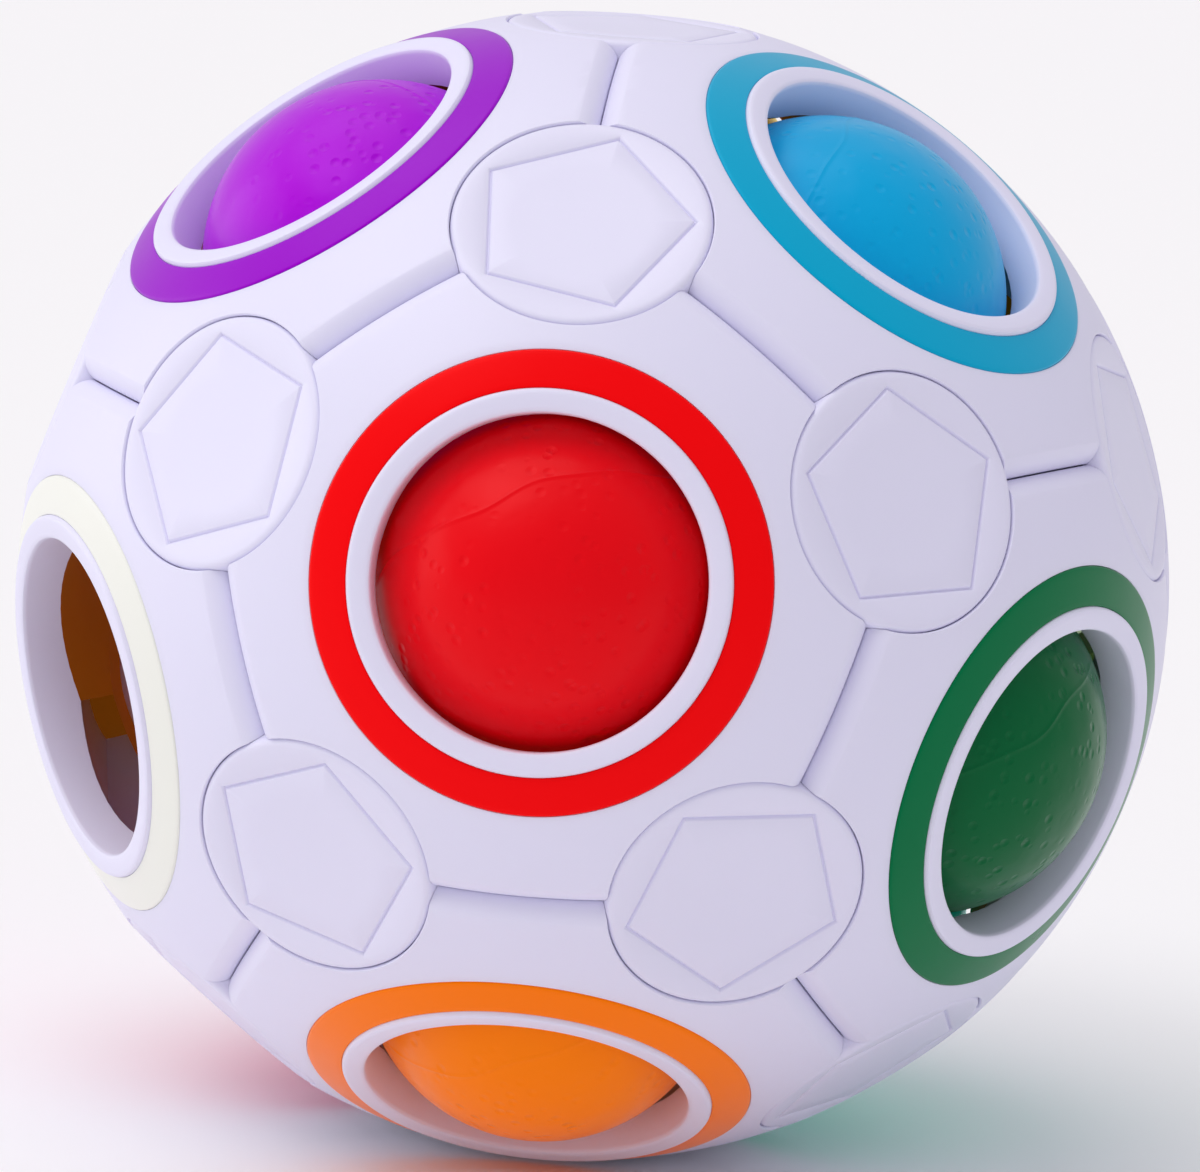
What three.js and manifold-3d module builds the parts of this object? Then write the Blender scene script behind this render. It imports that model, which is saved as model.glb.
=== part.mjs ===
// A sliding-ball puzzle: a hollow sphere of twelve pentagonal panels, each with a round hole,
// and eleven coloured balls that ride on an elastic core. One hole is empty.
// Millimetres, +Z up, origin at the centre of the sphere. The puzzle stands on one flat cap.
import * as THREE from 'three';
import { mergeVertices } from 'three/addons/utils/BufferGeometryUtils.js';
import Module from 'manifold-3d';

const wasm = await Module();
wasm.setup();

// Driving dimensions.
const SHELL_RADIUS = 34.75;
const SHELL_INNER_RADIUS = 30.8;
const PANEL_GAP = 0.3;
const BORE_RADIUS = 9.5;
const COLLAR_RADIUS = 10.9;
const COLLAR_TOP = 33.35;
const COLLAR_EDGE = 0.25;
const RING_OUTER_RADIUS = 13.1;
const RING_SEAM = 0.12;
const RING_POCKET_RADIUS = 33.5;
const RING_PROUD = 0.08;
const BALL_RADIUS = 10.5;
const BALL_SEAT = 24.9;
const BALL_CLEARANCE = 0.3;
const CORE_RADIUS = 14.0;
const TRACK_PIVOT = 90.0;
const EDGE_ROUNDING = 1.7;
const EDGE_ROUNDING_START = THREE.MathUtils.degToRad(12);
const EDGE_ROUNDING_END = THREE.MathUtils.degToRad(70);
const CAP_RADIUS = 7.5;
const CAP_TOP = 33.95;
const CAP_UNDER = 32.6;
const CAP_SEAM = 0.3;
const STEM_RADIUS = 2.5;
const BARB_RADIUS = 3.3;
const BARB_TOP = 30.15;
const STEM_END = 29.1;
const FLANGE_HOLE_RADIUS = 2.85;
const PENTAGON_RADIUS = 6.5;
const PENTAGON_LINE = 0.25;
const PENTAGON_DEPTH = 0.3;

// Angles of the dodecahedron that the panels follow.
const FACE_TO_EDGE = Math.atan((Math.sqrt(5) - 1) / 2);
const FACE_TO_FACE = 2 * FACE_TO_EDGE;
const FACE_TO_CORNER = Math.acos(Math.sqrt((5 + 2 * Math.sqrt(5)) / 15));
const SECOND_TILT = Math.acos(Math.sqrt((5 - 2 * Math.sqrt(5)) / 15));
const TURN = Math.PI * 2;
const LATHE_STEPS = 20;

// The twelve holes: name, tilt from +Z, turn about Z in degrees, colour of ring and ball.
const FACES = [
  ['yellow', FACE_TO_CORNER, 90, 0xf7d417],
  ['blue', FACE_TO_CORNER, -30, 0x0a97c4],
  ['purple', FACE_TO_CORNER, 210, 0x8a12b4],
  ['red', SECOND_TILT, -90, 0xe3101a],
  ['lime', SECOND_TILT, 30, 0x8fc93a],
  ['pink', SECOND_TILT, 150, 0xf28db4],
  ['green', Math.PI - SECOND_TILT, -30, 0x0a7a50],
  ['ivory', Math.PI - SECOND_TILT, 210, 0xf1eee0],
  ['navy', Math.PI - SECOND_TILT, 90, 0x23358f],
  ['orange', Math.PI - FACE_TO_CORNER, -90, 0xf58220],
  ['magenta', Math.PI - FACE_TO_CORNER, 150, 0xc41f6e],
  ['aqua', Math.PI - FACE_TO_CORNER, 30, 0x35c2b0],
];
const EMPTY_HOLE = 'ivory';

// The hole that one corner of the engraved pentagon points at, where it is not the first named.
const PENTAGON_TOWARD = {
  cap_blue_purple_red: 'purple',
  cap_blue_red_green: 'green',
  cap_red_green_orange: 'red',
  cap_purple_red_ivory: 'purple',
  cap_red_ivory_orange: 'orange',
};

function toManifold(geometry) {
  const bare = geometry.clone();
  bare.deleteAttribute('normal');
  bare.deleteAttribute('uv');
  const merged = mergeVertices(bare, 1e-4);
  const mesh = new wasm.Mesh({
    numProp: 3,
    vertProperties: new Float32Array(merged.attributes.position.array),
    triVerts: new Uint32Array(merged.index.array),
  });
  return new wasm.Manifold(mesh);
}

function toGeometry(solid) {
  const mesh = solid.getMesh();
  const geometry = new THREE.BufferGeometry();
  geometry.setAttribute('position', new THREE.BufferAttribute(new Float32Array(mesh.vertProperties), 3));
  geometry.setIndex(new THREE.BufferAttribute(new Uint32Array(mesh.triVerts), 1));
  geometry.computeVertexNormals();
  return geometry;
}

// A solid of revolution about Z from a profile of [radius, height] points, listed so that the
// material lies to the left of the path.
function turned(points, steps = LATHE_STEPS) {
  const profile = points.map(([r, z]) => new THREE.Vector2(r, z));
  const geometry = new THREE.LatheGeometry(profile, steps);
  geometry.rotateX(Math.PI / 2);
  return geometry;
}

function onSphere(radius, lateral) {
  return Math.sqrt(radius * radius - lateral * lateral);
}

// Turns a geometry made about +Z so that it points at a tilt and turn from the local +Z.
function aimed(geometry, tilt, turn) {
  const copy = geometry.clone();
  copy.rotateY(tilt);
  copy.rotateZ(turn);
  return copy;
}

// One panel before cutting: shell, collar round the bore and the pocket for the coloured ring.
function panelBlank() {
  const limit = FACE_TO_CORNER + 0.03;
  const points = [
    [BORE_RADIUS, onSphere(SHELL_INNER_RADIUS, BORE_RADIUS)],
    [14.6, onSphere(SHELL_INNER_RADIUS, 14.6)],
    [SHELL_INNER_RADIUS * Math.sin(limit), SHELL_INNER_RADIUS * Math.cos(limit)],
    [SHELL_RADIUS * Math.sin(limit), SHELL_RADIUS * Math.cos(limit)],
    [17.6, onSphere(SHELL_RADIUS, 17.6)],
    [RING_OUTER_RADIUS, onSphere(SHELL_RADIUS, RING_OUTER_RADIUS)],
    [RING_OUTER_RADIUS, onSphere(RING_POCKET_RADIUS, RING_OUTER_RADIUS)],
    [COLLAR_RADIUS, onSphere(RING_POCKET_RADIUS, COLLAR_RADIUS)],
    [COLLAR_RADIUS, COLLAR_TOP - COLLAR_EDGE],
    [COLLAR_RADIUS - COLLAR_EDGE, COLLAR_TOP],
    [BORE_RADIUS + COLLAR_EDGE, COLLAR_TOP],
    [BORE_RADIUS, COLLAR_TOP - COLLAR_EDGE],
    [BORE_RADIUS, onSphere(SHELL_INNER_RADIUS, BORE_RADIUS)],
  ];
  return turned(points);
}

// The five-sided pyramid that keeps a panel half a gap away from each of its neighbours.
function panelWedge() {
  const height = 44;
  const apex = PANEL_GAP / 2 / Math.sin(FACE_TO_EDGE);
  const radius = (height * Math.tan(FACE_TO_EDGE)) / Math.cos(Math.PI / 5);
  const pyramid = new THREE.ConeGeometry(radius, height, 5);
  pyramid.rotateX(-Math.PI / 2);
  pyramid.translate(0, 0, apex + height / 2);
  pyramid.rotateZ(Math.PI / 10);
  return pyramid;
}

// Pocket and stem hole for a cap at one corner of a panel.
function capCutter() {
  return turned([
    [0, 24],
    [FLANGE_HOLE_RADIUS, 24],
    [FLANGE_HOLE_RADIUS, CAP_UNDER - CAP_SEAM],
    [CAP_RADIUS + CAP_SEAM, CAP_UNDER - CAP_SEAM],
    [CAP_RADIUS + CAP_SEAM, 37],
    [0, 37],
  ], 18);
}

// The curved track of a ball between two neighbouring holes: an arc about a line outside the
// shell that passes through both seats, so the ball dips inward under the wall between them.
function trackArc() {
  const seat = new THREE.Vector2(0, BALL_SEAT);
  const direction = new THREE.Vector2(Math.sin(FACE_TO_EDGE), Math.cos(FACE_TO_EDGE));
  const pivot = direction.clone().multiplyScalar(TRACK_PIVOT);
  const radius = pivot.distanceTo(seat);
  const half = Math.asin((BALL_SEAT * Math.sin(FACE_TO_EDGE)) / radius);
  return { pivot, radius, half };
}

function trackTube() {
  const { pivot, radius, half } = trackArc();
  const width = BALL_RADIUS + BALL_CLEARANCE;
  const tube = new THREE.CylinderGeometry(width, width, 2, 16, 3);
  const position = tube.attributes.position;
  for (let i = 0; i < position.count; i += 1) {
    const along = position.getY(i) * half;
    const reach = radius + position.getX(i);
    const inward = FACE_TO_EDGE + Math.PI + along;
    const x = pivot.x + reach * Math.sin(inward);
    const z = pivot.y + reach * Math.cos(inward);
    position.setXYZ(i, x, position.getZ(i), z);
  }
  return tube;
}

// The valley between two panels: each has a rounded edge, and the two curves meet in a crease.
function valley() {
  const length = 30;
  const apron = 1.2;
  const headroom = 0.6;
  const across = EDGE_ROUNDING * (Math.sin(EDGE_ROUNDING_END) - Math.sin(EDGE_ROUNDING_START));
  const lift = apron * Math.tan(EDGE_ROUNDING_START);
  const centreX = across + EDGE_ROUNDING * Math.sin(EDGE_ROUNDING_START);
  const centreY = -EDGE_ROUNDING * Math.cos(EDGE_ROUNDING_START);
  const start = Math.PI / 2 + EDGE_ROUNDING_START;
  const end = Math.PI / 2 + EDGE_ROUNDING_END;
  const section = new THREE.Shape();
  section.moveTo(across + apron, headroom);
  section.lineTo(across + apron, lift);
  section.absarc(centreX, centreY, EDGE_ROUNDING, start, end, false);
  section.absarc(-centreX, centreY, EDGE_ROUNDING, Math.PI - end, Math.PI - start, false);
  section.lineTo(-across - apron, lift);
  section.lineTo(-across - apron, headroom);
  const bar = new THREE.ExtrudeGeometry(section, { depth: length, bevelEnabled: false, curveSegments: 3 });
  bar.rotateX(Math.PI / 2);
  bar.translate(0, length / 2, SHELL_RADIUS);
  return bar;
}

function panelSolid() {
  let solid = toManifold(panelBlank()).intersect(toManifold(panelWedge()));
  const pocket = new THREE.SphereGeometry(BALL_RADIUS + BALL_CLEARANCE, LATHE_STEPS, 10);
  pocket.rotateX(Math.PI / 2);
  pocket.translate(0, 0, BALL_SEAT);
  solid = solid.subtract(toManifold(pocket));
  const crease = valley();
  const cap = capCutter();
  const tube = trackTube();
  for (let k = 0; k < 5; k += 1) {
    const turn = (TURN * k) / 5;
    solid = solid.subtract(toManifold(aimed(cap, FACE_TO_CORNER, turn + Math.PI / 5)));
    solid = solid.subtract(toManifold(aimed(crease, FACE_TO_EDGE, turn)));
    solid = solid.subtract(toManifold(aimed(tube, 0, turn)));
  }
  return solid.asOriginal().simplify(0.004);
}

function ringGeometry() {
  const inner = COLLAR_RADIUS + RING_SEAM;
  const outer = RING_OUTER_RADIUS - RING_SEAM;
  const top = SHELL_RADIUS + RING_PROUD;
  const floor = RING_POCKET_RADIUS + RING_SEAM;
  return turned([
    [inner, onSphere(floor, inner)],
    [outer, onSphere(floor, outer)],
    [outer, onSphere(SHELL_RADIUS - 0.1, outer)],
    [outer - 0.2, onSphere(top, outer - 0.2)],
    [inner + 0.2, onSphere(top, inner + 0.2)],
    [inner, onSphere(SHELL_RADIUS - 0.1, inner)],
    [inner, onSphere(floor, inner)],
  ]);
}

// Flat disc with an engraved pentagon outline, on a stem whose barb locks three panel corners.
function capSolid() {
  const disc = turned([
    [0, STEM_END],
    [STEM_RADIUS - 0.3, STEM_END],
    [BARB_RADIUS, STEM_END + 0.5],
    [BARB_RADIUS, BARB_TOP],
    [STEM_RADIUS, BARB_TOP],
    [STEM_RADIUS, CAP_UNDER],
    [CAP_RADIUS, CAP_UNDER],
    [CAP_RADIUS, CAP_TOP],
    [0, CAP_TOP],
  ], 18);
  const line = turned([
    [PENTAGON_RADIUS, CAP_TOP - PENTAGON_DEPTH],
    [PENTAGON_RADIUS + PENTAGON_LINE, CAP_TOP + 0.02],
    [PENTAGON_RADIUS - PENTAGON_LINE, CAP_TOP + 0.02],
    [PENTAGON_RADIUS, CAP_TOP - PENTAGON_DEPTH],
  ], 5);
  line.rotateZ(Math.PI / 2);
  return toManifold(disc).subtract(toManifold(line));
}

function plastic(name, color, roughness) {
  return new THREE.MeshStandardMaterial({ name, color, roughness, metalness: 0 });
}

function named(name, geometry, material) {
  const mesh = new THREE.Mesh(geometry, material);
  mesh.name = name;
  return mesh;
}

function directionOf(tilt, degrees) {
  const turn = THREE.MathUtils.degToRad(degrees);
  return new THREE.Vector3(Math.sin(tilt) * Math.cos(turn), Math.sin(tilt) * Math.sin(turn), Math.cos(tilt));
}

// A frame at the centre of the sphere with its +Z along axis and its +X leaning toward a point.
function frameToward(axis, toward) {
  const z = axis.clone().normalize();
  const x = toward.clone().addScaledVector(z, -toward.dot(z)).normalize();
  const y = new THREE.Vector3().crossVectors(z, x);
  const matrix = new THREE.Matrix4().makeBasis(x, y, z);
  const frame = new THREE.Group();
  frame.quaternion.setFromRotationMatrix(matrix);
  return frame;
}

const group = new THREE.Group();
group.name = 'sliding_ball_puzzle';

const shellPlastic = plastic('shell_plastic', 0xe4e4f6, 0.42);
const capPlastic = plastic('cap_plastic', 0xe0e0f4, 0.46);
const coreRubber = plastic('core_rubber', 0x7a3d10, 0.75);

const panelGeometry = toGeometry(panelSolid());
const capGeometry = toGeometry(capSolid());
const ringShape = ringGeometry();
const ballShape = new THREE.IcosahedronGeometry(BALL_RADIUS, 3);

const faces = FACES.map(([name, tilt, degrees, color]) => ({
  name,
  color,
  direction: directionOf(tilt, degrees),
}));

function isNeighbour(a, b) {
  return Math.abs(a.direction.angleTo(b.direction) - FACE_TO_FACE) < 0.01;
}

for (const face of faces) {
  const neighbour = faces.find((other) => isNeighbour(face, other));
  const frame = frameToward(face.direction, neighbour.direction);
  frame.name = `face_${face.name}`;
  frame.add(named(`panel_${face.name}`, panelGeometry, shellPlastic));
  frame.add(named(`ring_${face.name}`, ringShape, plastic(`ring_${face.name}`, face.color, 0.3)));
  if (face.name !== EMPTY_HOLE) {
    const ball = named(`ball_${face.name}`, ballShape, plastic(`ball_${face.name}`, face.color, 0.5));
    ball.position.set(0, 0, BALL_SEAT);
    frame.add(ball);
  }
  group.add(frame);
}

for (let a = 0; a < faces.length; a += 1) {
  for (let b = a + 1; b < faces.length; b += 1) {
    for (let c = b + 1; c < faces.length; c += 1) {
      const trio = [faces[a], faces[b], faces[c]];
      const meets = isNeighbour(trio[0], trio[1]) && isNeighbour(trio[1], trio[2]) && isNeighbour(trio[0], trio[2]);
      if (meets) {
        const name = `cap_${trio.map((face) => face.name).join('_')}`;
        const key = trio.find((face) => face.name === PENTAGON_TOWARD[name]) || trio[0];
        const axis = new THREE.Vector3();
        trio.forEach((face) => axis.add(face.direction));
        const frame = frameToward(axis, key.direction);
        frame.name = `corner_${trio.map((face) => face.name).join('_')}`;
        frame.add(named(name, capGeometry, capPlastic));
        group.add(frame);
      }
    }
  }
}

group.add(named('elastic_core', new THREE.IcosahedronGeometry(CORE_RADIUS, 3), coreRubber));

export default group;
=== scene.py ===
from math import acos, asin, atan, atan2, cos, pi, radians, sin, sqrt, tan

import bmesh
import bpy
from mathutils import Matrix, Vector


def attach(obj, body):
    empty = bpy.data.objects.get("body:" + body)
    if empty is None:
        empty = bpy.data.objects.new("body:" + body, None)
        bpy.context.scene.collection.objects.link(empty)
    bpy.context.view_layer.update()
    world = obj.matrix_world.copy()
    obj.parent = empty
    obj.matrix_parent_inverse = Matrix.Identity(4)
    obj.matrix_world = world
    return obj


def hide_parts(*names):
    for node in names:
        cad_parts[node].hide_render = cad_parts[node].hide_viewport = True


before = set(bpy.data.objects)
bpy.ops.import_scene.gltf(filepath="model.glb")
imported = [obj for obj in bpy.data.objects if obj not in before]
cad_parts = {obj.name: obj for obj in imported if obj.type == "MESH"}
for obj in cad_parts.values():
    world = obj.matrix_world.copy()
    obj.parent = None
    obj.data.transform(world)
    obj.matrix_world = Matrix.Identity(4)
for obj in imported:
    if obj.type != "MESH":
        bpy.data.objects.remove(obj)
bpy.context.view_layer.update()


# ---- The twelve shell panels ----
# Each panel is a domed pentagon of white ABS with a round bore for one ball. A collar stands
# round the bore, and a shallow pocket outside the collar takes a coloured ring. The panels are
# one moulding used twelve times, locked together at their corners by the caps.

SHELL_RADIUS = 0.03475
SHELL_INSIDE = 0.0300
PANEL_GAP = 0.00010
BORE_RADIUS = 0.0095
COLLAR_RADIUS = 0.0109
COLLAR_TOP = 0.03335
RING_RADIUS = 0.0131
RING_BED = 0.0335
BALL_RADIUS = 0.01072
BALL_SEAT = 0.0249
BALL_ROOM = 0.00008
TRACK_PIVOT = 0.090
EDGE_ROUNDING = 0.0017
EDGE_ROUNDING_START = radians(12)
EDGE_ROUNDING_END = radians(70)
CAP_RADIUS = 0.0075
CAP_SEAM = 0.00003
CAP_LEDGE = 0.0323
STEM_HOLE = 0.00285
BARB_ROOM = 0.0036
BARB_SEAT = 0.03025

TO_EDGE = atan((sqrt(5) - 1) / 2)
TO_CORNER = acos(sqrt((5 + 2 * sqrt(5)) / 15))
SECOND_TILT = acos(sqrt((5 - 2 * sqrt(5)) / 15))

# Name, tilt from straight up, turn about the upright axis, colour of the ring and of the ball.
HOLES = [
    ("yellow", TO_CORNER, 90, (0.92, 0.66, 0.004), (1.00, 0.72, 0.004)),
    ("blue", TO_CORNER, -30, (0.002, 0.37, 0.60), (0.001, 0.36, 0.68)),
    ("purple", TO_CORNER, 210, (0.32, 0.001, 0.56), (0.42, 0.001, 0.66)),
    ("red", SECOND_TILT, -90, (0.93, 0.002, 0.004), (0.80, 0.001, 0.006)),
    ("lime", SECOND_TILT, 30, (0.36, 0.66, 0.010), (0.40, 0.74, 0.010)),
    ("pink", SECOND_TILT, 150, (0.92, 0.25, 0.42), (0.98, 0.28, 0.48)),
    ("green", pi - SECOND_TILT, -30, (0.001, 0.155, 0.052), (0.001, 0.110, 0.032)),
    ("ivory", pi - SECOND_TILT, 210, (0.83, 0.84, 0.78), (0.83, 0.84, 0.78)),
    ("navy", pi - SECOND_TILT, 90, (0.012, 0.030, 0.28), (0.010, 0.026, 0.30)),
    ("orange", pi - TO_CORNER, -90, (1.00, 0.20, 0.002), (1.00, 0.22, 0.001)),
    ("magenta", pi - TO_CORNER, 150, (0.66, 0.004, 0.18), (0.74, 0.004, 0.22)),
    ("aqua", pi - TO_CORNER, 30, (0.02, 0.58, 0.44), (0.02, 0.66, 0.50)),
]
EMPTY_HOLE = "ivory"


def pointing(tilt, turn):
    turn = radians(turn)
    return Vector((sin(tilt) * cos(turn), sin(tilt) * sin(turn), cos(tilt)))


DIRECTION = {name: pointing(tilt, turn) for name, tilt, turn, ring, ball in HOLES}


def neighbours(a, b):
    return abs(DIRECTION[a].angle(DIRECTION[b]) - 2 * TO_EDGE) < 0.01


def facing(axis, toward):
    """Turns a piece made about +Z so that it faces along axis, with its +X toward a point."""
    z = axis.normalized()
    x = (toward - z * toward.dot(z)).normalized()
    y = z.cross(x)
    return Matrix((x, y, z)).transposed().to_4x4()


def hole_frame(name):
    beside = next(other for other in DIRECTION if neighbours(name, other))
    return facing(DIRECTION[name], DIRECTION[beside])


def drop(radius, lateral):
    """Height of a sphere of this radius above its centre, at a distance from the axis."""
    return sqrt(radius * radius - lateral * lateral)


def rounded(corner, before, after, radius, steps=3):
    """Points of a small arc that rounds one corner of a profile."""
    corner, before, after = Vector(corner), Vector(before), Vector(after)
    start = corner + (before - corner).normalized() * radius
    end = corner + (after - corner).normalized() * radius
    points = []
    for step in range(steps + 1):
        t = step / steps
        points.append(start * (1 - t) ** 2 + corner * 2 * t * (1 - t) + end * t * t)
    return [(p.x, p.y) for p in points]


def turned(profile, steps, closed=True):
    """A bmesh spun about Z from a profile of (radius, height) points."""
    bm = bmesh.new()
    corners = [bm.verts.new((r, 0, z)) for r, z in profile]
    edges = [bm.edges.new(pair) for pair in zip(corners, corners[1:])]
    if closed:
        edges.append(bm.edges.new((corners[-1], corners[0])))
    bmesh.ops.spin(bm, geom=corners + edges, cent=(0, 0, 0), axis=(0, 0, 1), dvec=(0, 0, 0),
                   angle=2 * pi, steps=steps, use_merge=True, use_duplicate=False)
    bmesh.ops.remove_doubles(bm, verts=bm.verts, dist=1e-7)
    bmesh.ops.recalc_face_normals(bm, faces=bm.faces)
    return bm


def made(name, bm, matrix=None):
    """A finished object from a bmesh, with its place in its mesh."""
    mesh = bpy.data.meshes.new(name)
    bm.to_mesh(mesh)
    bm.free()
    if matrix is not None:
        mesh.transform(matrix)
    piece = bpy.data.objects.new(name, mesh)
    bpy.context.scene.collection.objects.link(piece)
    return piece


def carved(piece, cuts):
    """Applies a list of (cutter, operation) to a piece and throws the cutters away."""
    for cutter, operation in cuts:
        cut = piece.modifiers.new("cut", "BOOLEAN")
        cut.object = cutter
        cut.operation = operation
        cut.solver = "EXACT"
    graph = bpy.context.evaluated_depsgraph_get()
    mesh = bpy.data.meshes.new_from_object(piece.evaluated_get(graph))
    piece.modifiers.clear()
    piece.data = mesh
    for cutter, operation in cuts:
        bpy.data.objects.remove(cutter)
    return piece


def joined(name, make, matrices):
    """One cutter object from several copies of a bmesh, each at its own place."""
    whole = bmesh.new()
    for matrix in matrices:
        part = make()
        part.transform(matrix)
        mesh = bpy.data.meshes.new("copy")
        part.to_mesh(mesh)
        part.free()
        whole.from_mesh(mesh)
        bpy.data.meshes.remove(mesh)
    return made(name, whole)


def panel_blank():
    edge = SHELL_RADIUS
    lip = (BORE_RADIUS, drop(SHELL_INSIDE, BORE_RADIUS))
    inner_top = (BORE_RADIUS, COLLAR_TOP)
    outer_top = (COLLAR_RADIUS, COLLAR_TOP)
    foot = (COLLAR_RADIUS, drop(RING_BED, COLLAR_RADIUS))
    bed = (RING_RADIUS, drop(RING_BED, RING_RADIUS))
    rim = (RING_RADIUS, drop(edge, RING_RADIUS))
    beyond = (RING_RADIUS + 0.001, drop(edge, RING_RADIUS + 0.001))
    profile = [lip]
    profile += rounded(inner_top, lip, outer_top, 0.00034, 4)
    profile += rounded(outer_top, inner_top, foot, 0.00034, 4)
    profile += [foot, bed]
    profile += rounded(rim, bed, beyond, 0.00010, 2)
    for step in range(1, 18):
        lateral = RING_RADIUS + 0.0006 * step
        if lateral < 0.0225:
            profile.append((lateral, drop(edge, lateral)))
    for step in range(12):
        lateral = 0.0200 - 0.00095 * step
        if lateral > BORE_RADIUS + 0.0002:
            profile.append((lateral, drop(SHELL_INSIDE, lateral)))
    return turned(profile, 180)


def wedge():
    """Five-sided pyramid that trims a panel half a gap away from its neighbours."""
    height = 0.044
    bm = bmesh.new()
    radius = height * tan(TO_EDGE) / cos(pi / 5)
    bmesh.ops.create_cone(bm, cap_ends=True, segments=5, radius1=0, radius2=radius, depth=height)
    apex = PANEL_GAP / 2 / sin(TO_EDGE)
    bmesh.ops.translate(bm, vec=(0, 0, height / 2 + apex), verts=bm.verts)
    corner = max(bm.verts, key=lambda v: v.co.x if v.co.z > 0.01 else -1)
    turn = pi / 5 - Vector((corner.co.x, corner.co.y)).angle_signed(Vector((1, 0)))
    bmesh.ops.rotate(bm, cent=(0, 0, 0), matrix=Matrix.Rotation(turn, 3, "Z"), verts=bm.verts)
    return made("wedge", bm)


def ball_room():
    bm = bmesh.new()
    bmesh.ops.create_uvsphere(bm, u_segments=96, v_segments=48, radius=BALL_RADIUS + BALL_ROOM)
    bmesh.ops.translate(bm, vec=(0, 0, BALL_SEAT), verts=bm.verts)
    return made("ball_room", bm)


def swept(section, axis, centre, angle, steps):
    """A closed bar made by spinning a flat section part of the way round an axis."""
    bmesh.ops.spin(section, geom=section.verts[:] + section.edges[:], cent=centre, axis=axis,
                   dvec=(0, 0, 0), angle=angle, steps=steps, use_merge=False, use_duplicate=False)
    bmesh.ops.remove_doubles(section, verts=section.verts, dist=1e-8)
    bmesh.ops.holes_fill(section, edges=section.edges, sides=0)
    bmesh.ops.recalc_face_normals(section, faces=section.faces)
    return section


def track():
    """The room a ball sweeps on its way to the next hole: in, under the wall, and out again."""
    pivot = Vector((sin(TO_EDGE), 0, cos(TO_EDGE))) * TRACK_PIVOT
    seat = Vector((0, 0, BALL_SEAT))
    reach = (seat - pivot).length
    half = asin(BALL_SEAT * sin(TO_EDGE) / reach)
    bm = bmesh.new()
    bmesh.ops.create_circle(bm, cap_ends=False, segments=72, radius=BALL_RADIUS + BALL_ROOM / 2)
    along = (seat - pivot).normalized().cross(Vector((0, 1, 0)))
    bm.transform(Matrix.Translation(seat) @ along.to_track_quat("Z", "Y").to_matrix().to_4x4())
    return swept(bm, (0, -1, 0), pivot, 2 * half, 24)


def valley():
    """The crease between two panels, whose long edges are both rounded over."""
    across = EDGE_ROUNDING * (sin(EDGE_ROUNDING_END) - sin(EDGE_ROUNDING_START))
    middle = across + EDGE_ROUNDING * sin(EDGE_ROUNDING_START)
    below = SHELL_RADIUS - EDGE_ROUNDING * cos(EDGE_ROUNDING_START)
    apron, headroom, steps = 0.0012, 0.0009, 10
    outline = [(across + apron, SHELL_RADIUS + headroom),
               (across + apron, SHELL_RADIUS + apron * tan(EDGE_ROUNDING_START))]
    for step in range(steps + 1):
        slope = EDGE_ROUNDING_START + (EDGE_ROUNDING_END - EDGE_ROUNDING_START) * step / steps
        outline.append((middle - EDGE_ROUNDING * sin(slope), below + EDGE_ROUNDING * cos(slope)))
    outline += [(-x, z) for x, z in reversed(outline[:-1])]
    bm = bmesh.new()
    corners = [bm.verts.new((x, 0, z)) for x, z in outline]
    for pair in zip(corners, corners[1:] + corners[:1]):
        bm.edges.new(pair)
    spread = radians(12.5)
    bmesh.ops.rotate(bm, cent=(0, 0, 0), matrix=Matrix.Rotation(-spread, 3, "X"), verts=bm.verts)
    return swept(bm, (1, 0, 0), (0, 0, 0), 2 * spread, 24)


def cap_room():
    """The pocket for a cap, with its rim rounded over, and the hole for the cap's stem."""
    edge = CAP_RADIUS + CAP_SEAM
    rim = drop(SHELL_RADIUS, edge)
    rounding = 0.00016
    profile = [(0, 0.024), (BARB_ROOM, 0.024), (BARB_ROOM, BARB_SEAT), (STEM_HOLE, BARB_SEAT)]
    profile += [(STEM_HOLE, CAP_LEDGE), (edge, CAP_LEDGE)]
    for step in range(5):
        angle = pi / 8 * step
        profile.append((edge + rounding * (1 - cos(angle)), rim - rounding + rounding * sin(angle)))
    profile += [(edge + 0.0012, rim), (edge + 0.0012, 0.037), (0, 0.037)]
    return turned(profile, 90, closed=False)


def round_about(tilt, start):
    return [Matrix.Rotation(start + 2 * pi * k / 5, 4, "Z") @ Matrix.Rotation(tilt, 4, "Y")
            for k in range(5)]


panel_piece = made("panel", panel_blank())
carved(panel_piece, [(wedge(), "INTERSECT"), (ball_room(), "DIFFERENCE")])
carved(panel_piece, [(joined("cap_rooms", cap_room, round_about(TO_CORNER, pi / 5)), "DIFFERENCE"),
                     (joined("valleys", valley, round_about(TO_EDGE, 0)), "DIFFERENCE")])
for turn in range(5):
    cutter = made("track", track(), Matrix.Rotation(2 * pi * turn / 5, 4, "Z"))
    carved(panel_piece, [(cutter, "DIFFERENCE")])
panel_piece.data.shade_smooth()
panel_piece.data.set_sharp_from_angle(angle=radians(24))


def group_socket(group, name, side, kind, value=None):
    socket = group.interface.new_socket(name=name, in_out=side, socket_type=kind)
    if value is not None:
        socket.default_value = value
    return socket


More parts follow.
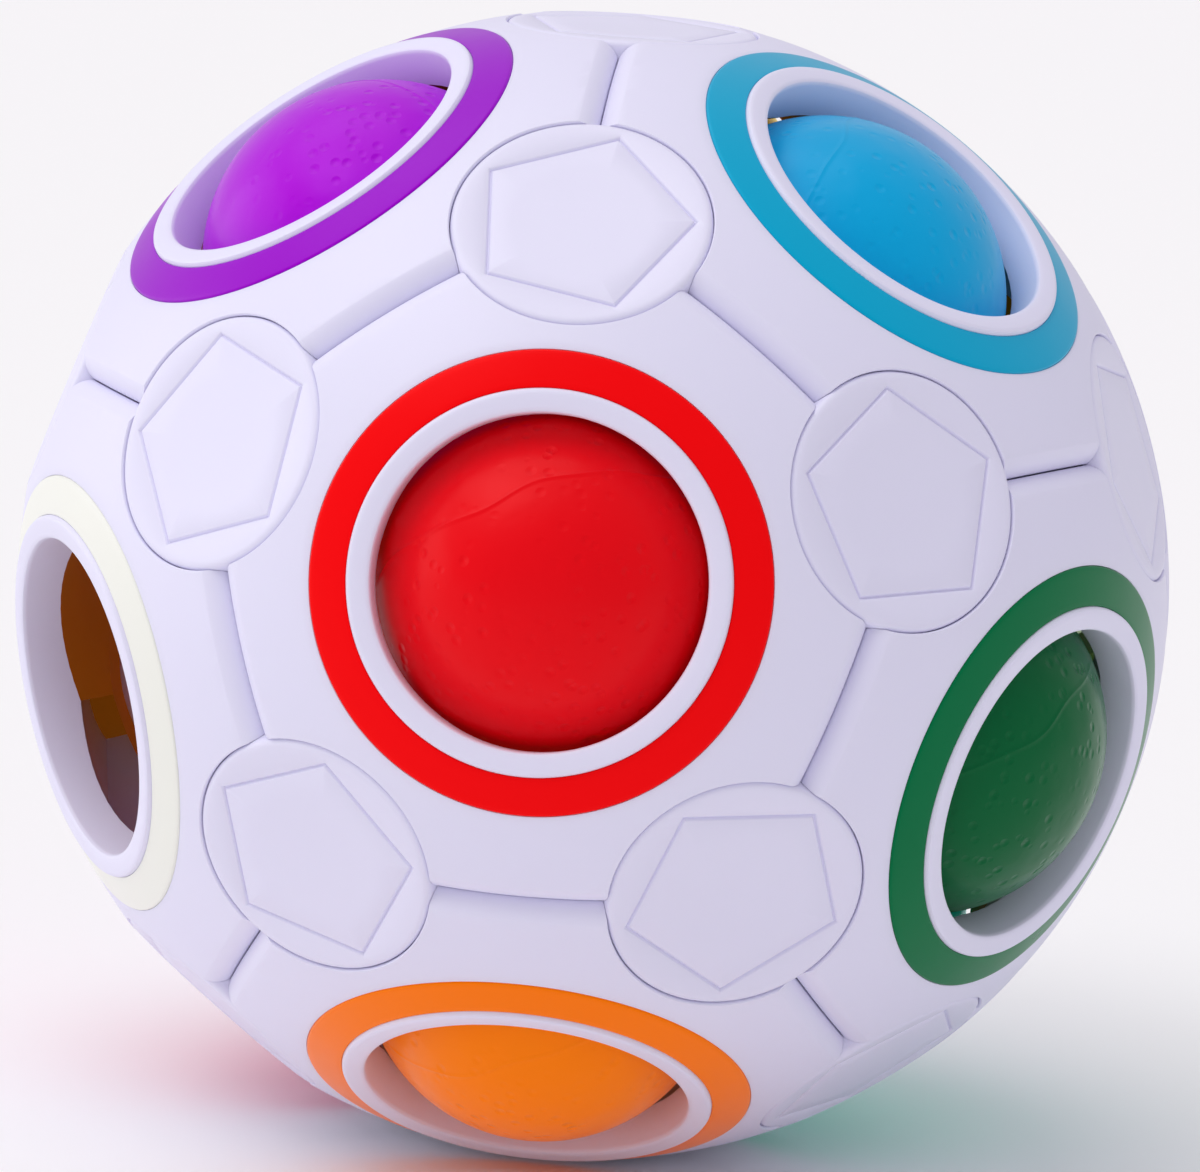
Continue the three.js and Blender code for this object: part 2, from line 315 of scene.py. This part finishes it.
def moulding_marks():
    """Shared by all the plastics: faint flow marks in the colour, and a fine uneven skin."""
    group = bpy.data.node_groups.new("moulding_marks", "ShaderNodeTree")
    group_socket(group, "Color", "INPUT", "NodeSocketColor", (0.8, 0.8, 0.8, 1))
    group_socket(group, "Shade", "INPUT", "NodeSocketColor", (0.7, 0.7, 0.7, 1))
    group_socket(group, "Roughness", "INPUT", "NodeSocketFloat", 0.4)
    group_socket(group, "Marks", "INPUT", "NodeSocketFloat", 0.1)
    group_socket(group, "Skin", "INPUT", "NodeSocketFloat", 0.1)
    group_socket(group, "Color", "OUTPUT", "NodeSocketColor")
    group_socket(group, "Roughness", "OUTPUT", "NodeSocketFloat")
    group_socket(group, "Normal", "OUTPUT", "NodeSocketVector")
    nodes, link = group.nodes, group.links.new
    inputs = nodes.new("NodeGroupInput")
    outputs = nodes.new("NodeGroupOutput")
    place = nodes.new("ShaderNodeTexCoord")
    flow = nodes.new("ShaderNodeTexNoise")
    flow.inputs["Scale"].default_value = 70
    flow.inputs["Detail"].default_value = 3
    link(place.outputs["Object"], flow.inputs["Vector"])
    amount = nodes.new("ShaderNodeMath")
    amount.operation = "MULTIPLY"
    link(flow.outputs["Fac"], amount.inputs[0])
    link(inputs.outputs["Marks"], amount.inputs[1])
    mix = nodes.new("ShaderNodeMix")
    mix.data_type = "RGBA"
    link(amount.outputs[0], mix.inputs["Factor"])
    link(inputs.outputs["Color"], mix.inputs["A"])
    link(inputs.outputs["Shade"], mix.inputs["B"])
    link(mix.outputs["Result"], outputs.inputs["Color"])
    haze = nodes.new("ShaderNodeTexNoise")
    haze.inputs["Scale"].default_value = 340
    haze.inputs["Detail"].default_value = 2
    link(place.outputs["Object"], haze.inputs["Vector"])
    spread = nodes.new("ShaderNodeMapRange")
    spread.inputs["To Min"].default_value = -0.05
    spread.inputs["To Max"].default_value = 0.05
    link(haze.outputs["Fac"], spread.inputs["Value"])
    rough = nodes.new("ShaderNodeMath")
    rough.operation = "ADD"
    link(inputs.outputs["Roughness"], rough.inputs[0])
    link(spread.outputs["Result"], rough.inputs[1])
    link(rough.outputs[0], outputs.inputs["Roughness"])
    grain = nodes.new("ShaderNodeTexNoise")
    grain.inputs["Scale"].default_value = 1500
    grain.inputs["Detail"].default_value = 2
    link(place.outputs["Object"], grain.inputs["Vector"])
    bump = nodes.new("ShaderNodeBump")
    bump.inputs["Distance"].default_value = 0.00003
    link(inputs.outputs["Skin"], bump.inputs["Strength"])
    link(grain.outputs["Fac"], bump.inputs["Height"])
    link(bump.outputs["Normal"], outputs.inputs["Normal"])
    return group


MOULDING_MARKS = moulding_marks()


def plastic(name, colour, roughness, marks=0.3, skin=0.15, shade=0.86, glow=0.0, tint=0.0,
            painted_glow=0.0, gloss=0.5):
    """A moulded plastic: its colour, a slightly darker flow mark, and a little light inside.

    tint is how far its gloss takes on its own colour, and the emission strength sets a painted glow in
    that colour, light that no lamp gives."""
    material = bpy.data.materials.new(name)
    material.use_nodes = True
    nodes, link = material.node_tree.nodes, material.node_tree.links.new
    shader = nodes["Principled BSDF"]
    marked = nodes.new("ShaderNodeGroup")
    marked.node_tree = MOULDING_MARKS
    marked.inputs["Color"].default_value = (*colour, 1)
    marked.inputs["Shade"].default_value = (*[c * shade for c in colour], 1)
    marked.inputs["Roughness"].default_value = roughness
    marked.inputs["Marks"].default_value = marks
    marked.inputs["Skin"].default_value = skin
    link(marked.outputs["Color"], shader.inputs["Base Color"])
    link(marked.outputs["Roughness"], shader.inputs["Roughness"])
    link(marked.outputs["Normal"], shader.inputs["Normal"])
    shader.inputs["IOR"].default_value = 1.5
    shader.inputs["Subsurface Weight"].default_value = glow
    shader.inputs["Subsurface Radius"].default_value = (0.0012, 0.0010, 0.0012)
    shader.inputs["Subsurface Scale"].default_value = 1.0
    shader.inputs["Specular Tint"].default_value = (*[1 - tint * (1 - c) for c in colour], 1)
    shader.inputs["Specular IOR Level"].default_value = gloss
    # Painted light: the emission makes the plastic glow in its own colour.
    shader.inputs["Emission Color"].default_value = (*colour, 1)
    shader.inputs["Emission Strength"].default_value = painted_glow
    return material


shell_white = plastic("shell_white", (0.80, 0.785, 0.97), 0.42, marks=0.25, glow=0.10)
# Painted shade: the inside of the white shell is painted a dark amber with heavy dark mottling in place
# of the shade there, and its emission is a painted glow.
painted_inside_shade = plastic("painted_inside_shade", (0.55, 0.17, 0.010), 0.70, marks=1.0, shade=0.4, tint=1.0,
                       painted_glow=0.16)

# Painted light: on the puzzle's left the inside glows warm, in place of daylight coming in through the
# empty hole.
inside_nodes, inside_link = painted_inside_shade.node_tree.nodes, painted_inside_shade.node_tree.links.new
inside_place = inside_nodes.new("ShaderNodeTexCoord")
inside_axes = inside_nodes.new("ShaderNodeSeparateXYZ")
inside_link(inside_place.outputs["Object"], inside_axes.inputs["Vector"])
painted_daylight_mask = inside_nodes.new("ShaderNodeMapRange")
painted_daylight_mask.inputs["From Min"].default_value = -0.012
painted_daylight_mask.inputs["From Max"].default_value = -0.022
inside_link(inside_axes.outputs["X"], painted_daylight_mask.inputs["Value"])
painted_daylight_glow = inside_nodes.new("ShaderNodeMix")
painted_daylight_glow.data_type = "RGBA"
painted_daylight_glow.inputs["A"].default_value = (0, 0, 0, 1)
painted_daylight_glow.inputs["B"].default_value = (0.40, 0.125, 0.005, 1)
inside_link(painted_daylight_mask.outputs["Result"], painted_daylight_glow.inputs["Factor"])
inside_link(painted_daylight_glow.outputs["Result"], inside_nodes["Principled BSDF"].inputs["Emission Color"])
panel_piece.data.materials.append(shell_white)
panel_piece.data.materials.append(painted_inside_shade)
# Faces inside the shell, all but the bore wall and the panel's sides, take the painted shade.
for face in panel_piece.data.polygons:
    across = sqrt(face.center.x ** 2 + face.center.y ** 2)
    bore_wall = across < BORE_RADIUS + 0.00002 and abs(face.normal.z) < 0.1
    side = abs(face.normal.z + sin(TO_EDGE)) < 0.01 and abs(face.normal.dot(face.center)) < PANEL_GAP
    face.material_index = 0 if bore_wall or side or face.center.length > 0.0324 else 1

lip = bmesh.new()
lip.from_mesh(panel_piece.data)
for edge in lip.edges:
    if len({face.material_index for face in edge.link_faces}) == 2:
        edge.smooth = False
lip.to_mesh(panel_piece.data)
lip.free()

for name in DIRECTION:
    mesh = panel_piece.data.copy()
    mesh.transform(hole_frame(name))
    panel = bpy.data.objects.new(f"shell_panel_{name}", mesh)
    bpy.context.scene.collection.objects.link(panel)
    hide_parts(f"panel_{name}")
    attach(panel, "shell")
bpy.data.objects.remove(panel_piece)


# ---- The twelve coloured rings ----
# A flat band of glossy plastic pressed into the pocket round each collar, in the colour of the
# ball that belongs there. Its face follows the dome, and its two edges are slightly rounded.

RING_SEAM = 0.00001
RING_FACE = 0.03482


def ring_blank():
    inner, outer = COLLAR_RADIUS + RING_SEAM, RING_RADIUS - RING_SEAM
    bottom = RING_BED + 0.0001
    low_in, low_out = (inner, drop(bottom, inner)), (outer, drop(bottom, outer))
    high_in, high_out = (inner, drop(RING_FACE, inner)), (outer, drop(RING_FACE, outer))
    profile = [low_in]
    profile += rounded(high_in, low_in, high_out, 0.00012, 3)
    for step in range(1, 6):
        lateral = inner + (outer - inner) * step / 6
        profile.append((lateral, drop(RING_FACE, lateral)))
    profile += rounded(high_out, high_in, low_out, 0.00012, 3)
    profile.append(low_out)
    return turned(profile, 144)


for name, tilt, turn, colour, ball_colour in HOLES:
    ring = made(f"colour_ring_{name}", ring_blank(), hole_frame(name))
    ring.data.shade_smooth()
    ring.data.set_sharp_from_angle(angle=radians(40))
    # The rings' emission is a faint painted glow in their own colour.
    ring.data.materials.append(
        plastic(f"ring_{name}", colour, 0.30, marks=0.3, skin=0.08, tint=0.9, painted_glow=0.06, gloss=0.35))
    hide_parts(f"ring_{name}")
    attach(ring, "shell")


# ---- The twenty corner caps ----
# A flat white disc over each corner where three panels meet. A pentagon outline is engraved in
# its face, with one corner toward one of the panels. Its stem ends in a barb under the shell.

CAP_FACE = 0.03395
CAP_UNDER = 0.0326
PENTAGON_RADIUS = 0.0065
PENTAGON_HALF_LINE = 0.00023
PENTAGON_DEPTH = 0.00020
POINTS_AT = {
    "cap_blue_purple_red": "purple",
    "cap_blue_red_green": "green",
    "cap_red_green_orange": "red",
    "cap_purple_red_ivory": "purple",
    "cap_red_ivory_orange": "orange",
}


def cap_blank():
    stem, barb = 0.0025, 0.0033
    top, rim, under = (0, CAP_FACE), (CAP_RADIUS, CAP_FACE), (CAP_RADIUS, CAP_UNDER)
    profile = [top, (0.004, CAP_FACE)]
    profile += rounded(rim, top, under, 0.00050, 6)
    profile += [under, (stem, CAP_UNDER), (stem, 0.03015), (barb, 0.03015), (barb, 0.0296),
                (stem - 0.0003, 0.0291), (0, 0.0291)]
    return turned(profile, 120, closed=False)


def pentagon_line():
    """A narrow five-sided groove with soft lips."""
    deep, lip, above = CAP_FACE - PENTAGON_DEPTH, CAP_FACE - 0.00004, CAP_FACE + 0.00003
    half = PENTAGON_HALF_LINE
    sides = [(0.15 * half, deep), (0.60 * half, lip), (1.2 * half, above)]
    profile = [(PENTAGON_RADIUS - x, z) for x, z in sides]
    profile += [(PENTAGON_RADIUS + x, z) for x, z in reversed(sides)]
    return made("pentagon_line", turned(profile, 5))


cap_piece = carved(made("cap", cap_blank()), [(pentagon_line(), "DIFFERENCE")])
cap_piece.data.shade_smooth()
cap_piece.data.set_sharp_from_angle(angle=radians(34))
cap_white = plastic("cap_white", (0.80, 0.785, 0.97), 0.44, marks=0.25, glow=0.10)
cap_piece.data.materials.append(cap_white)

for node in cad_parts:
    if node.startswith("cap_"):
        trio = node.split("_")[1:]
        axis = sum((DIRECTION[hole] for hole in trio), Vector())
        key = next((POINTS_AT[n] for n in POINTS_AT if set(n.split("_")[1:]) == set(trio)), trio[0])
        mesh = cap_piece.data.copy()
        mesh.transform(facing(axis, DIRECTION[key]))
        cap = bpy.data.objects.new(node.replace("cap_", "corner_cap_"), mesh)
        bpy.context.scene.collection.objects.link(cap)
        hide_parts(node)
        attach(cap, "shell")
bpy.data.objects.remove(cap_piece)


# ---- The eleven balls ----
# Solid moulded balls, a little wider than the bores, so that they show a dome and can't fall
# out. Their skin is a shade duller than the rings', with fine pits and a faint flow line.


def seamed_ball(radius, ridge, wander):
    """A ball with a thin raised parting line that wanders a little, and a gate mark at a pole."""
    sides = [(0.0, -0.00010), (2.0, -0.00010), (3.2, 0.00003), (4.4, 0.0)]
    sides += [(4.4 + 2.8 * step, 0.0) for step in range(1, 31)]
    sides += [(89.45, 0.0), (89.8, ridge), (90.2, ridge), (90.55, 0.0)]
    sides += [(180 - angle, 0.0) for angle in [88.4 - 2.8 * step for step in range(31)]]
    sides.append((180.0, 0.0))
    profile = []
    for angle, lift in sides:
        profile.append(((radius + lift) * sin(radians(angle)), (radius + lift) * cos(radians(angle))))
    bm = turned(profile, 160, closed=False)
    for vert in bm.verts:
        reach, around = vert.co.length, atan2(vert.co.y, vert.co.x)
        height = asin(max(-1, min(1, vert.co.z / reach)))
        shift = wander * (sin(3 * around + 0.6) + 0.5 * sin(7 * around) + 0.25 * sin(13 * around))
        height += shift * cos(height) ** 3
        vert.co = reach * Vector((cos(height) * cos(around), cos(height) * sin(around), sin(height)))
    return bm


def ball_skin(name, colour, painted_glow):
    """The ball's plastic, mottled where the mould was rough, with scattered shallow pits."""
    material = plastic(name, colour, 0.30, marks=0.5, skin=0.3, shade=0.80, tint=0.75, painted_glow=painted_glow,
                       gloss=0.34)
    nodes, link = material.node_tree.nodes, material.node_tree.links.new
    shader = nodes["Principled BSDF"]
    place = nodes.new("ShaderNodeTexCoord")
    patches = nodes.new("ShaderNodeTexNoise")
    patches.inputs["Scale"].default_value = 120
    patches.inputs["Detail"].default_value = 3
    link(place.outputs["Object"], patches.inputs["Vector"])
    rough_patch = nodes.new("ShaderNodeMapRange")
    rough_patch.inputs["From Min"].default_value = 0.40
    rough_patch.inputs["From Max"].default_value = 0.62
    link(patches.outputs["Fac"], rough_patch.inputs["Value"])
    pits = nodes.new("ShaderNodeTexVoronoi")
    pits.inputs["Scale"].default_value = 1000
    link(place.outputs["Object"], pits.inputs["Vector"])
    pit = nodes.new("ShaderNodeMapRange")
    pit.inputs["From Min"].default_value = 0.08
    pit.inputs["From Max"].default_value = 0.34
    link(pits.outputs["Distance"], pit.inputs["Value"])
    height = nodes.new("ShaderNodeMath")
    height.operation = "MULTIPLY"
    link(rough_patch.outputs["Result"], height.inputs[0])
    link(pit.outputs["Result"], height.inputs[1])
    bump = nodes.new("ShaderNodeBump")
    bump.inputs["Strength"].default_value = 0.8
    bump.inputs["Distance"].default_value = 0.00010
    link(height.outputs[0], bump.inputs["Height"])
    link(bump.outputs["Normal"], shader.inputs["Normal"])
    return material


for name, tilt, turn, ring_colour, colour in HOLES:
    if name != EMPTY_HOLE:
        lean = Matrix.Rotation(radians(22), 4, "Z") @ Matrix.Rotation(radians(-60), 4, "Y")
        lean = facing(DIRECTION[name], Vector((0, 0, 1))) @ lean
        lean = Matrix.Translation(DIRECTION[name] * BALL_SEAT) @ lean
        ball = made(f"slide_ball_{name}", seamed_ball(BALL_RADIUS, 0.000030, 0.035), lean)
        ball.data.shade_smooth()
        # The balls' emission is a painted glow in their own colour.
        ball.data.materials.append(ball_skin(f"ball_{name}", colour, 0.10))
        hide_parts(f"ball_{name}")
        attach(ball, f"ball_{name}_body")


# ---- The elastic core ----
# A soft amber ball in the middle of the sphere. It presses every other ball outward against the
# lip of its bore, and gives way when a ball is pushed in.

CORE_RADIUS = 0.0140

core = made("amber_core", seamed_ball(CORE_RADIUS, 0.00005, 0.0))
core.data.shade_smooth()
# The core's emission is a painted glow in its amber colour.
core.data.materials.append(
    plastic("core_rubber", (0.50, 0.16, 0.01), 0.6, marks=0.6, skin=0.5, shade=0.6, painted_glow=0.10))
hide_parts("elastic_core")
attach(core, "shell")


# ---- Floor, lights and camera ----
# A plain pale floor under the resting cap, a large soft lamp above and to the left of the camera, a
# second soft lamp from the left side, a smaller gloss lamp above, to the left and toward the camera, and
# a pale room all round.

FLOOR = -0.03397

bm = bmesh.new()
bmesh.ops.create_grid(bm, x_segments=1, y_segments=1, size=3)
bmesh.ops.translate(bm, vec=(0, 0, FLOOR), verts=bm.verts)
floor = made("floor", bm)
floor_paint = bpy.data.materials.new("floor_paint")
floor_paint.use_nodes = True
floor_paint.node_tree.nodes["Principled BSDF"].inputs["Base Color"].default_value = (0.97, 0.97, 0.97, 1)
floor_paint.node_tree.nodes["Principled BSDF"].inputs["Roughness"].default_value = 0.7
floor.data.materials.append(floor_paint)

world = bpy.data.worlds.new("room")
bpy.context.scene.world = world
world.use_nodes = True
world.node_tree.nodes["Background"].inputs["Color"].default_value = (0.97, 0.94, 1.0, 1)
world.node_tree.nodes["Background"].inputs["Strength"].default_value = 0.60


def soft_sun(name, toward, softness, strength, colour):
    lamp = bpy.data.lights.new(name, "SUN")
    lamp.angle = radians(softness)
    lamp.energy = strength
    lamp.color = colour
    stand = bpy.data.objects.new(name, lamp)
    stand.location = Vector(toward).normalized()
    stand.rotation_euler = (-Vector(toward)).to_track_quat("-Z", "Y").to_euler()
    bpy.context.scene.collection.objects.link(stand)
    return stand


soft_sun("key_light", (-0.35, -0.05, 0.93), 60, 0.95, (1.0, 0.99, 0.97))
soft_sun("side_light", (-0.97, 0.05, 0.0), 60, 0.85, (1.0, 0.99, 0.97))
soft_sun("gloss_light", (-0.47, -0.35, 0.77), 28, 0.35, (1.0, 0.99, 0.97))

CAMERA_AZIMUTH = radians(-84.6)
CAMERA_ELEVATION = radians(11.14)
CAMERA_ROLL = radians(3.99)
CAMERA_DISTANCE = 0.418

eye = Vector((cos(CAMERA_ELEVATION) * cos(CAMERA_AZIMUTH),
              cos(CAMERA_ELEVATION) * sin(CAMERA_AZIMUTH), sin(CAMERA_ELEVATION))) * CAMERA_DISTANCE
lens = bpy.data.cameras.new("camera")
lens.sensor_width = 36
lens.lens = 206.85
lens.shift_x = 0.005
lens.shift_y = -0.0018
lens.clip_start = 0.01
lens.clip_end = 20
camera = bpy.data.objects.new("camera", lens)
aim = (-eye).to_track_quat("-Z", "Y").to_matrix().to_4x4()
camera.matrix_world = Matrix.Translation(eye) @ aim @ Matrix.Rotation(CAMERA_ROLL, 4, "Z")
bpy.context.scene.collection.objects.link(camera)
bpy.context.scene.camera = camera
bpy.context.scene.view_settings.view_transform = "Standard"
